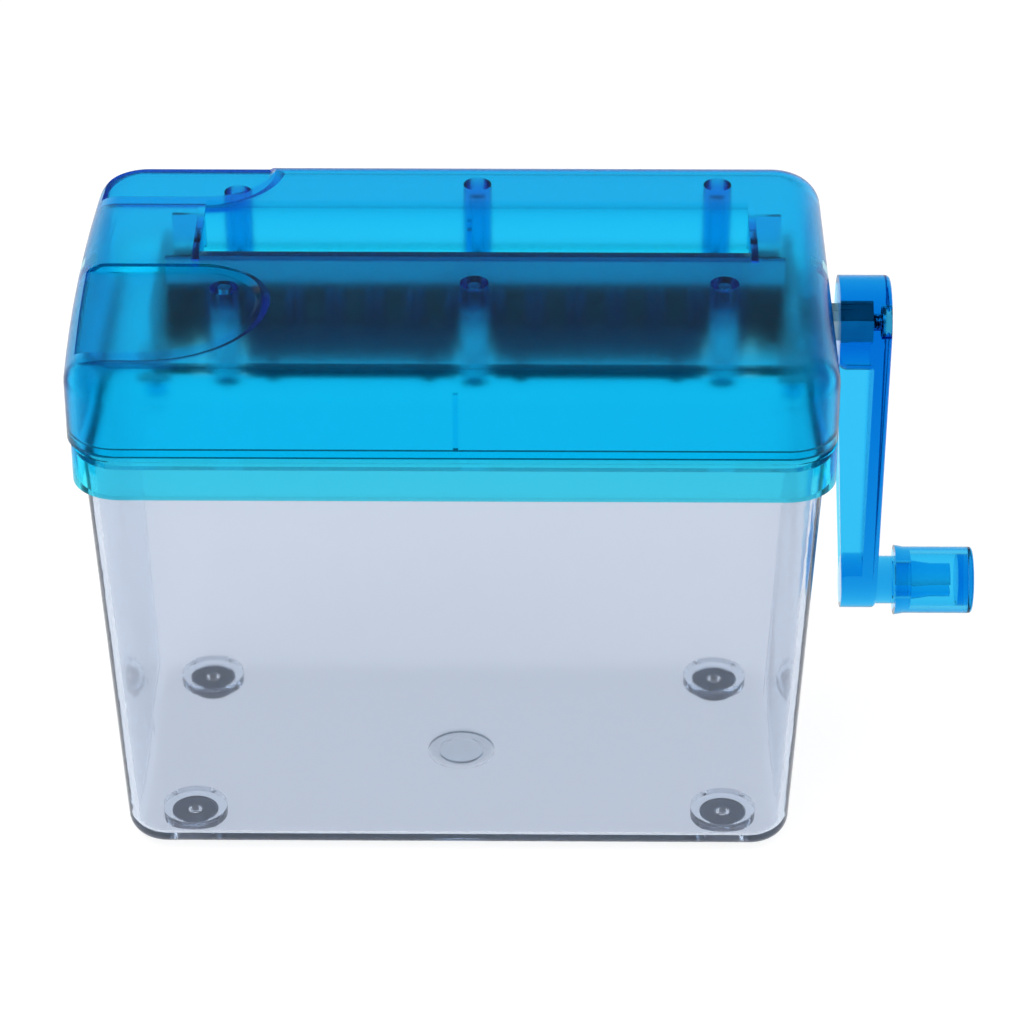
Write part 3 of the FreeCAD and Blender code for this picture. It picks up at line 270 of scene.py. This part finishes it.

# %% [markdown]
# ## Cover
# The cover is duller than the crank, so what stands far behind its wall blurs, and what touches it stays
# sharp. Its front screw posts are bright columns before the dark rollers, and the front wall of the paper
# mouth is a lighter strip there. Clear plastic would only show the rollers through both, so they scatter
# light: the wall all over, and the posts most at their feet. Towards the back the colour darkens a little:
# this is painted shade, for the lesser light on the rear of the cover.

# %% Cover
# Places are in metres. Clear is the share of light that goes through, and milk the share that is scattered.
COVER_TINT = (0.45, 0.92, 1.0)
# The rear colour is painted shade: the cover is coloured darker towards the back, where less light falls.
REAR_PAINTED_SHADE = (0.36, 0.83, 0.94)
PAINTED_SHADE_SPAN = (0.008, 0.016)
MOUTH_WALL = {"Y": (0.0025, 0.0062), "Z": (0.1095, 0.1155)}
MOUTH_CLEAR = 0.2
FRONT_POSTS = {"X": (-0.0495, 0.0565), "Y": (-0.0091, -0.0029), "Z": (0.0972, 0.1105)}
FOOT_MILK, TOP_MILK = 0.95, 0.25
MILK_CHANGE = (0.1045, 0.1085)
lid_blue, tree, shader = blue_plastic("lid_blue", COVER_TINT, 1.28, (0.2, 0.25), LID_DYE, 720.0)
milk = spread(tree, coordinate(tree, "Z"), FOOT_MILK, TOP_MILK, *MILK_CHANGE)
clear_posts = spread(tree, times(tree, within(tree, **FRONT_POSTS), milk), 1.0, 0.0, 0.0, 1.0)
clear_mouth = spread(tree, within(tree, **MOUTH_WALL), 1.0, MOUTH_CLEAR, 0.0, 1.0)
tree.links.new(times(tree, clear_mouth, clear_posts), shader.inputs["Transmission Weight"])
# Painted shade: along Y the base colour darkens from the front tint to the rear one.
painted_rear_shade = spread(tree, coordinate(tree, "Y"), NOISE_LOW, NOISE_HIGH, *PAINTED_SHADE_SPAN)
tree.links.new(shades(tree, painted_rear_shade, COVER_TINT, REAR_PAINTED_SHADE), shader.inputs["Base Color"])
dress(lid_blue, "top_cover")

# %% [markdown]
# ## Base frame and crank
# The base frame is a flat plate with a skirt, and it is seen through the front wall. A plate that bends light
# as much as real plastic traps what comes in from the side and shows as a dark band, so its index is close to
# that of air. The crank is clear inside and out, so the steel bar shows in its hub and the split spindle in
# its knob, and its dye is less green than the lid's.

# %% Base frame and crank
frame_blue, _, _ = blue_plastic("frame_blue", (0.15, 0.91, 1.0), 1.1, (0.1, 0.15), LID_DYE, 260.0)
dress(frame_blue, "base_frame")
crank_blue, _, _ = blue_plastic("crank_blue", (0.3, 0.82, 0.97), 1.15, (0.1, 0.16), CRANK_DYE, 330.0)
dress(crank_blue, "crank_arm", "crank_knob", "knob_end_cap")

# %% [markdown]
# ## Matt plastics
# The combs are black plastic with a fine grain from the mould, the gears and spacers are a darker one, and
# the bushes are pale natural nylon. A single black would look like a hole, so the colour wanders a little and
# the roughness follows a finer noise.

# %% Matt plastics
def matt_plastic(name, dark, light):
    """Matt moulded plastic between two close shades, with a fine grain."""
    finish, tree, shader = new_finish(name, IOR=1.5)
    tree.links.new(shades(tree, grain(tree, 90.0), dark, light), shader.inputs["Base Color"])
    fine = grain(tree, 2600.0, detail=2.0)
    tree.links.new(spread(tree, fine, 0.42, 0.6), shader.inputs["Roughness"])
    relief(tree, shader, fine, 0.00003)
    return finish


dress(matt_plastic("comb_black", (0.035, 0.048, 0.095), (0.05, 0.067, 0.13)),
      *[name for name in nodes if name.endswith("_comb")])
dress(matt_plastic("inner_plastic", (0.012, 0.016, 0.026), (0.02, 0.026, 0.04)),
      *[name for name in nodes if name.endswith(("_gear", "_spacers"))])
dress(matt_plastic("bush_nylon", (0.6, 0.62, 0.62), (0.7, 0.72, 0.72)),
      *[name for name in nodes if name.endswith("_bush")])

# %% [markdown]
# ## Steel
# The bars are drawn steel with lines along their length, the screws are zinc-plated, and the cutter discs are
# blackened. All are metal, so the base colour is the colour of the reflection. Lines could be drawn one by
# one, but noise that is stretched along one axis draws them all at once.

# %% Steel
def steel(name, dark, light, rough, stretch):
    """Metal between two shades, with lines along the axis that has the smallest stretch."""
    finish, tree, shader = new_finish(name, Metallic=1.0)
    lines = grain(tree, 1000.0, detail=4.0, stretch=stretch)
    tree.links.new(shades(tree, grain(tree, 120.0), dark, light), shader.inputs["Base Color"])
    tree.links.new(spread(tree, lines, *rough), shader.inputs["Roughness"])
    relief(tree, shader, lines, 0.00002, 0.6)
    return finish


bar_steel = steel("bar_steel", (0.4, 0.41, 0.44), (0.5, 0.51, 0.54), (0.25, 0.42), (0.03, 1.5, 1.5))
cutter_steel = steel("cutter_steel", (0.03, 0.05, 0.11), (0.05, 0.08, 0.16), (0.4, 0.6), (0.3, 1.5, 1.5))
bright_steel = steel("bright_steel", (0.5, 0.51, 0.53), (0.62, 0.63, 0.65), (0.2, 0.34), (1.0, 1.0, 1.0))
dress(bar_steel, "front_shaft", "rear_shaft")

# %% [markdown]
# ## Rubber feet
# Four grey washers stand under the bin and show through its floor. Rubber has no clear gloss. One dull grey
# would do from afar, but a fine noise in the roughness and a slow one in the colour look like dust on soft
# rubber.

# %% Rubber
foot_rubber, tree, shader = new_finish("foot_rubber", IOR=1.5)
dusty = shades(tree, grain(tree, 300.0), (0.26, 0.27, 0.32), (0.32, 0.34, 0.4))
tree.links.new(dusty, shader.inputs["Base Color"])
dust = grain(tree, 3000.0)
tree.links.new(spread(tree, dust, 0.7, 0.9), shader.inputs["Roughness"])
relief(tree, shader, dust, 0.00004)
print(f"{foot_rubber.name}, {cutter_steel.name} and {bright_steel.name} wait for their pieces")

# %% [markdown]
# ## Skins over rings
# Discs, screws and feet are turned shapes: a profile that goes round an axis. Each could be lathed with a
# Screw modifier, but a thread or a tooth also changes with the angle. So every point is worked out from two
# parameters, the row along the profile and the column round the axis, and one helper lays faces over the
# grid. A profile that comes back to its start makes a closed ring, and one that ends on the axis is closed by
# a pole.

# %% Skin helper
MM = 0.001
SHARP_FROM = math.radians(35)


def skin(name, rings, poles=None):
    """Mesh over rings of points in mm, with the shape (copies, rows, columns, 3). Each quad joins a point to
    the next column and the next row. With no poles the last row meets the first; with poles, a point closes
    each end."""
    copies, rows, columns, _ = rings.shape
    row, column = np.meshgrid(np.arange(rows), np.arange(columns), indexing="ij")
    beside, after = (column + 1) % columns, (row + 1) % rows
    quads = np.stack([row * columns + column, row * columns + beside, after * columns + beside,
                      after * columns + column], axis=-1)
    starts = np.arange(copies)[:, None, None] * rows * columns
    points = rings.reshape(-1, 3)
    walls = quads if poles is None else quads[:-1]
    faces = (starts + walls.reshape(1, -1, 4)).reshape(-1, 4).tolist()
    if poles is not None:
        first = len(points) + 2 * np.arange(copies)[:, None, None]
        points = np.concatenate([points, poles.reshape(-1, 3)])
        for pole, edge in ((first, quads[0, :, 1::-1]), (first + 1, quads[-2, :, 3:1:-1])):
            fan = np.concatenate([starts + edge[None], np.broadcast_to(pole, (copies, columns, 1))], axis=-1)
            faces += fan.reshape(-1, 3).tolist()
    mesh = bpy.data.meshes.new(name)
    mesh.from_pydata((points * MM).tolist(), [], faces)
    mesh.shade_smooth()
    mesh.set_sharp_from_angle(angle=SHARP_FROM)
    piece = bpy.data.objects.new(name, mesh)
    scene.collection.objects.link(piece)
    return piece


def stands_for(piece, finish, slot, body, *names):
    """The piece takes the finish, moves with the body and is seen in place of the named solids; slot is not
    used.
    """
    piece.data.materials.append(finish)
    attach(piece, body)
    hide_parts(*names)
    print(f"{piece.name}: {len(piece.data.polygons)} faces in place of {len(names)} solid(s)")


def box_mm(name):
    """Lowest and highest corner of a solid, as two arrays in mm."""
    return [np.array(corner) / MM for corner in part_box(name)]


print(f"skins keep edges sharp from {math.degrees(SHARP_FROM):.0f} degrees")

# %% [markdown]
# ## Cutter discs
# Each roller carries a row of blackened discs. In the solid model they are plain rings. Real ones are
# toothed, so that they draw the paper in, and have a groove round the rim. Teeth could be cut one by one with
# Booleans. Here the profile of one disc goes up its side, over a small bevel, across the rim with its groove,
# and back through the bore, and a saw wave round the axis lowers the rim.

# %% Toothed discs
DISC_TEETH = 36
POINTS_ON_TOOTH = 5
TOOTH_DEPTH = 0.35
DISC_BEVEL = 0.3
DISC_GROOVE = 0.4
GROOVE_FROM, GROOVE_MIDDLE, GROOVE_TO = 0.38, 0.5, 0.62
DISC_BORE = 4.9


def toothed_discs(name, names):
    """Rows are the profile, columns the angle. A point of the rim stands at the disc's radius less the tooth
    depth times a saw wave, which is the share of its tooth that the angle has passed."""
    boxes = np.array([box_mm(node) for node in names])
    low, high = boxes[:, 0], boxes[:, 1]
    width, _, across = high[0] - low[0]
    radius = across / 2
    along = np.array([0, 0, DISC_BEVEL, GROOVE_FROM * width, GROOVE_MIDDLE * width, GROOVE_TO * width,
                      width - DISC_BEVEL, width, width])
    out = np.array([DISC_BORE, radius - DISC_BEVEL, radius, radius, radius - DISC_GROOVE, radius, radius,
                    radius - DISC_BEVEL, DISC_BORE])
    columns = DISC_TEETH * POINTS_ON_TOOTH
    turn = np.arange(columns) / columns
    saw = DISC_TEETH * turn % 1.0
    reach = out[:, None] - TOOTH_DEPTH * (out > DISC_BORE)[:, None] * saw
    angle = 2 * np.pi * turn
    ring = np.stack([along[:, None] + 0 * reach, reach * np.cos(angle), reach * np.sin(angle)], axis=-1)
    middle = (low + high) / 2
    middle[:, 0] = low[:, 0]
    return skin(name, middle[:, None, None] + ring)


for side in ("front", "rear"):
    names = sorted(name for name in nodes if name.startswith(f"{side}_disc_"))
    piece = toothed_discs(f"{side}_toothed_discs", names)
    stands_for(piece, cutter_steel, "cutter_steel", f"{side}_cutter", *names)

# %% [markdown]
# ## Screws
# Six screws come up from below into the posts of the cover, four hold the brackets, and one holds the crank.
# Through the plastic their threads show as fine lines. A bump could draw those, but a thread's outline is
# notched too. So the shank is a helix: its radius rises and falls with the way along the axis less the angle,
# and one ridge climbs round it. The head is a low dome with a cross pressed into it.

# %% Threaded screws
SCREW_COLUMNS = 48
ROWS_PER_TURN = 6
EDGE_ROWS = 7
DOME_ROWS = 22
DOME_END = 0.04
THREAD_SHARE = 0.25
TIP_SHARE = 0.3
EDGE_SHARE = 0.2
CROSS_SHARE = 0.7
ARM_HALF, ARM_STEEP = 0.2, 10
ARM_LENGTH, ARM_RAMP = 0.6, 1.6


def threaded_screws(name, seats, axis, shank, head, pitch):
    """Rows run from the tip to the middle of the head, and columns go round. The seats are the points under
    the heads, the axis points out of the heads, and shank and head are (radius, length). The shank's radius
    falls from the crest by a quarter of the pitch times a triangle wave of (way / pitch - turn). The head's
    edge is a quarter circle and its top a half ellipse, less the cross, whose depth is the lesser of two
    falls: across an arm and along it."""
    axis = np.array(axis, float)
    side = np.roll(axis, 1)
    (crest, length), (wide, high) = shank, head
    turn = np.arange(SCREW_COLUMNS) / SCREW_COLUMNS
    angle = 2 * np.pi * turn
    around = np.cos(angle)[:, None] * side + np.sin(angle)[:, None] * np.cross(axis, side)
    flat = np.zeros(SCREW_COLUMNS)
    way = np.linspace(-length, 0.0, int(ROWS_PER_TURN * length / pitch))[:, None] + flat
    wave = np.abs(2 * ((way / pitch - turn) % 1.0) - 1)
    tip = np.clip(TIP_SHARE + (way + length) / (2 * crest), 0, 1)
    bend = np.linspace(0, np.pi / 2, EDGE_ROWS)[:, None] + flat
    top = wide * np.linspace(1, DOME_END, DOME_ROWS)[:, None] + flat
    arms = np.abs(np.stack([top * np.cos(angle), top * np.sin(angle)])) / wide
    across, down = ARM_STEEP * (ARM_HALF - arms.min(0)), ARM_RAMP * (ARM_LENGTH - arms.max(0))
    cross = np.clip(np.minimum(across, down), 0, 1)
    dome = EDGE_SHARE + (1 - EDGE_SHARE) * np.sqrt(np.clip(1 - (top / wide) ** 2, 0, 1))
    edge = EDGE_SHARE * high
    thread = (crest - THREAD_SHARE * pitch * wave) * tip
    reach = np.concatenate([thread, wide - edge * (1 - np.sin(bend)), top])
    rise = np.concatenate([way, edge * (1 - np.cos(bend)), high * (dome - CROSS_SHARE * cross)])
    ring = rise[..., None] * axis + reach[..., None] * around
    seats = np.array(seats, float)
    poles = np.stack([-length * axis, (1 - CROSS_SHARE) * high * axis])
    return skin(name, seats[:, None, None] + ring, seats[:, None] + poles)


print(f"a screw has {SCREW_COLUMNS} columns, and {ROWS_PER_TURN} rows in each turn of its thread")

# %% [markdown]
# ## Places of the screws
# The screws of one kind stand in a front and a rear row. Their places could be copied from the drawing, and
# would then be wrong after its next change. The box round all of them ends at the rims of the heads, so the
# place of each follows from the box: a head's radius inside its corners, and evenly between them.

# %% Screws in their places
SCREW_HEAD = (2.6, 1.8)
SCREW_RADIUS = 1.25
SCREW_PITCH = 1.0
CRANK_HEAD = (3.0, 1.6)
CRANK_SCREW_RADIUS = 1.5


def in_rows(name, inset, columns, level):
    """Points at one height in two rows, a given way inside the box round a solid."""
    low, high = box_mm(name)
    x, y = np.meshgrid(np.linspace(low[0] + inset, high[0] - inset, columns),
                       (low[1] + inset, high[1] - inset))
    return np.stack([x.ravel(), y.ravel(), np.full(x.size, level)], axis=-1)


for name, columns, up in (("cover_screws", 3, -1), ("bearing_plate_screws", 2, 1)):
    low, high = box_mm(name)
    seat = high[2] - SCREW_HEAD[1] if up > 0 else low[2] + SCREW_HEAD[1]
    length = high[2] - low[2] - SCREW_HEAD[1]
    piece = threaded_screws(f"threaded_{name}", in_rows(name, SCREW_HEAD[0], columns, seat), (0, 0, up),
                            (SCREW_RADIUS, length), SCREW_HEAD, SCREW_PITCH)
    stands_for(piece, bright_steel, "bright_steel", "head", name)
low, high = box_mm("crank_screw")
seat = (low + high) / 2
seat[0] = high[0] - CRANK_HEAD[1]
piece = threaded_screws("threaded_crank_screw", [seat], (1, 0, 0), (CRANK_SCREW_RADIUS, seat[0] - low[0]),
                        CRANK_HEAD, SCREW_PITCH)
stands_for(piece, bright_steel, "bright_steel", "front_cutter", "crank_screw")

# %% [markdown]
# ## Feet
# The feet are moulded rubber washers. A washer with sharp edges looks cut from card, and a Bevel would round
# it but leave the sole flat. So the profile is a rounded rectangle, a circle whose cosine and sine are raised
# to a small power, and three rings are pressed into the sole.

# %% Moulded feet
FOOT_RADIUS = 4.7
FOOT_HOLE = 1.6
FOOT_POWER = 0.3
SOLE_RINGS = 3
SOLE_DEPTH = 0.25
SOLE_LEVEL = -0.95
FOOT_ROWS = 64
FOOT_COLUMNS = 72


def moulded_feet(name):
    """Rows go round the profile, columns round the foot. Sole points rise by a cosine wave of their radius.
    Radius and height are the cosine and sine of the row's angle, each with its sign, raised to the power."""
    low, high = box_mm("rubber_feet")
    turn = 2 * np.pi * (np.arange(FOOT_ROWS) + 0.5) / FOOT_ROWS
    wave = np.stack([np.cos(turn), np.sin(turn)])
    wide, tall = np.sign(wave) * np.abs(wave) ** FOOT_POWER
    half = (high[2] - low[2]) / 2
    radius = (FOOT_RADIUS + FOOT_HOLE) / 2 + wide * (FOOT_RADIUS - FOOT_HOLE) / 2
    way = (radius - FOOT_HOLE) / (FOOT_RADIUS - FOOT_HOLE)
    sole = SOLE_DEPTH * (tall < SOLE_LEVEL) * (0.5 - 0.5 * np.cos(2 * np.pi * SOLE_RINGS * way))
    height = half * (1 + tall) + sole
    angle = 2 * np.pi * np.arange(FOOT_COLUMNS) / FOOT_COLUMNS
    ring = np.stack([radius[:, None] * np.cos(angle), radius[:, None] * np.sin(angle),
                     height[:, None] + 0 * angle], axis=-1)
    return skin(name, in_rows("rubber_feet", FOOT_RADIUS, 2, low[2])[:, None, None] + ring)


stands_for(moulded_feet("moulded_feet"), foot_rubber, "foot_rubber", "bin", "rubber_feet")

# %% [markdown]
# ## Floor
# The photograph has a plain white ground. More light would make a grey floor white, and would bleach the
# object too. So the floor is a grey sheet that keeps the object's shadow, and it glows white only for rays
# from the eye, from a reflection or through clear plastic.

# %% Floor
FLOOR_HALF = 4.0
FLOOR_GREY = 0.2
FLOOR_GLOW = 0.88


def seen_white(tree):
    """1 for a ray from the camera, from a reflection or through clear plastic, and 0 for all other light."""
    ray = tree.nodes.new("ShaderNodeLightPath")
    seen = ray.outputs["Is Camera Ray"]
    for kind in ("Is Glossy Ray", "Is Transmission Ray"):
        most = tree.nodes.new("ShaderNodeMath")
        most.operation = "MAXIMUM"
        tree.links.new(seen, most.inputs[0])
        tree.links.new(ray.outputs[kind], most.inputs[1])
        seen = most.outputs[0]
    return seen


floor_mesh = bpy.data.meshes.new("floor")
floor_mesh.from_pydata([(-FLOOR_HALF, -FLOOR_HALF, 0), (FLOOR_HALF, -FLOOR_HALF, 0),
                        (FLOOR_HALF, FLOOR_HALF, 0), (-FLOOR_HALF, FLOOR_HALF, 0)], [], [(0, 1, 2, 3)])
floor = bpy.data.objects.new("floor", floor_mesh)
scene.collection.objects.link(floor)
floor_white, tree, shader = new_finish("floor_white", Base_Color=(FLOOR_GREY, FLOOR_GREY, FLOOR_GREY, 1.0),
                                       Roughness=1.0, Specular_IOR_Level=0.0,
                                       Emission_Color=(1.0, 1.0, 1.0, 1.0))
tree.links.new(spread(tree, seen_white(tree), 0.0, FLOOR_GLOW, 0.0, 1.0), shader.inputs["Emission Strength"])
floor_mesh.materials.append(floor_white)
print(f"floor of {2 * FLOOR_HALF} m")

# %% [markdown]
# ## Room
# The room is white where it is looked at, and lights the object more softly than that. A mirror image of a
# white ceiling would lie over the blue top as a veil, and a black one would make the metal dull. So for
# reflections alone the room darkens with height, and stays white near the horizon.

# %% Room
ROOM_LIGHT = 0.6
ROOM_SEEN = 1.0
CEILING_SEEN = 0.15
CEILING_RISE = (0.1, 0.5)
world = bpy.data.worlds.new("white_room")
scene.world = world
world.use_nodes = True
tree = world.node_tree
background = tree.nodes["Background"]
background.inputs["Color"].default_value = (1.0, 1.0, 1.0, 1.0)
aim = tree.nodes.new("ShaderNodeTexCoord")
height = tree.nodes.new("ShaderNodeSeparateXYZ")
tree.links.new(aim.outputs["Generated"], height.inputs["Vector"])
ceiling = tree.nodes.new("ShaderNodeMix")
ceiling.inputs["A"].default_value = ROOM_SEEN
tree.links.new(tree.nodes.new("ShaderNodeLightPath").outputs["Is Glossy Ray"], ceiling.inputs["Factor"])
tree.links.new(spread(tree, height.outputs["Z"], ROOM_SEEN, CEILING_SEEN, *CEILING_RISE), ceiling.inputs["B"])
room = tree.nodes.new("ShaderNodeMix")
room.inputs["A"].default_value = ROOM_LIGHT
tree.links.new(seen_white(tree), room.inputs["Factor"])
tree.links.new(ceiling.outputs["Result"], room.inputs["B"])
tree.links.new(room.outputs["Result"], background.inputs["Strength"])
print(f"{world.name} lights at {ROOM_LIGHT}")

# %% [markdown]
# ## Lamps
# Two large soft lamps, left and right above the object, stand in for the panels of a studio. Small lamps
# would give the same light with hard shadows, which the photograph does not have.

# %% Lamps
LAMP_SIZE = 0.9
LAMP_TARGET = Vector((0, 0, 0.06))


def lamp(name, place, power):
    """A square soft lamp that faces the middle of the object."""
    light = bpy.data.lights.new(name, "AREA")
    light.size = LAMP_SIZE
    light.energy = power
    holder = bpy.data.objects.new(name, light)
    holder.location = place
    holder.rotation_mode = "QUATERNION"
    holder.rotation_quaternion = (LAMP_TARGET - Vector(place)).to_track_quat("-Z", "Y")
    scene.collection.objects.link(holder)
    print(f"{name}: {power} W")


lamp("key_lamp", (-0.5, -0.5, 1.2), 9.0)
lamp("fill_lamp", (0.9, -0.2, 0.9), 4.0)
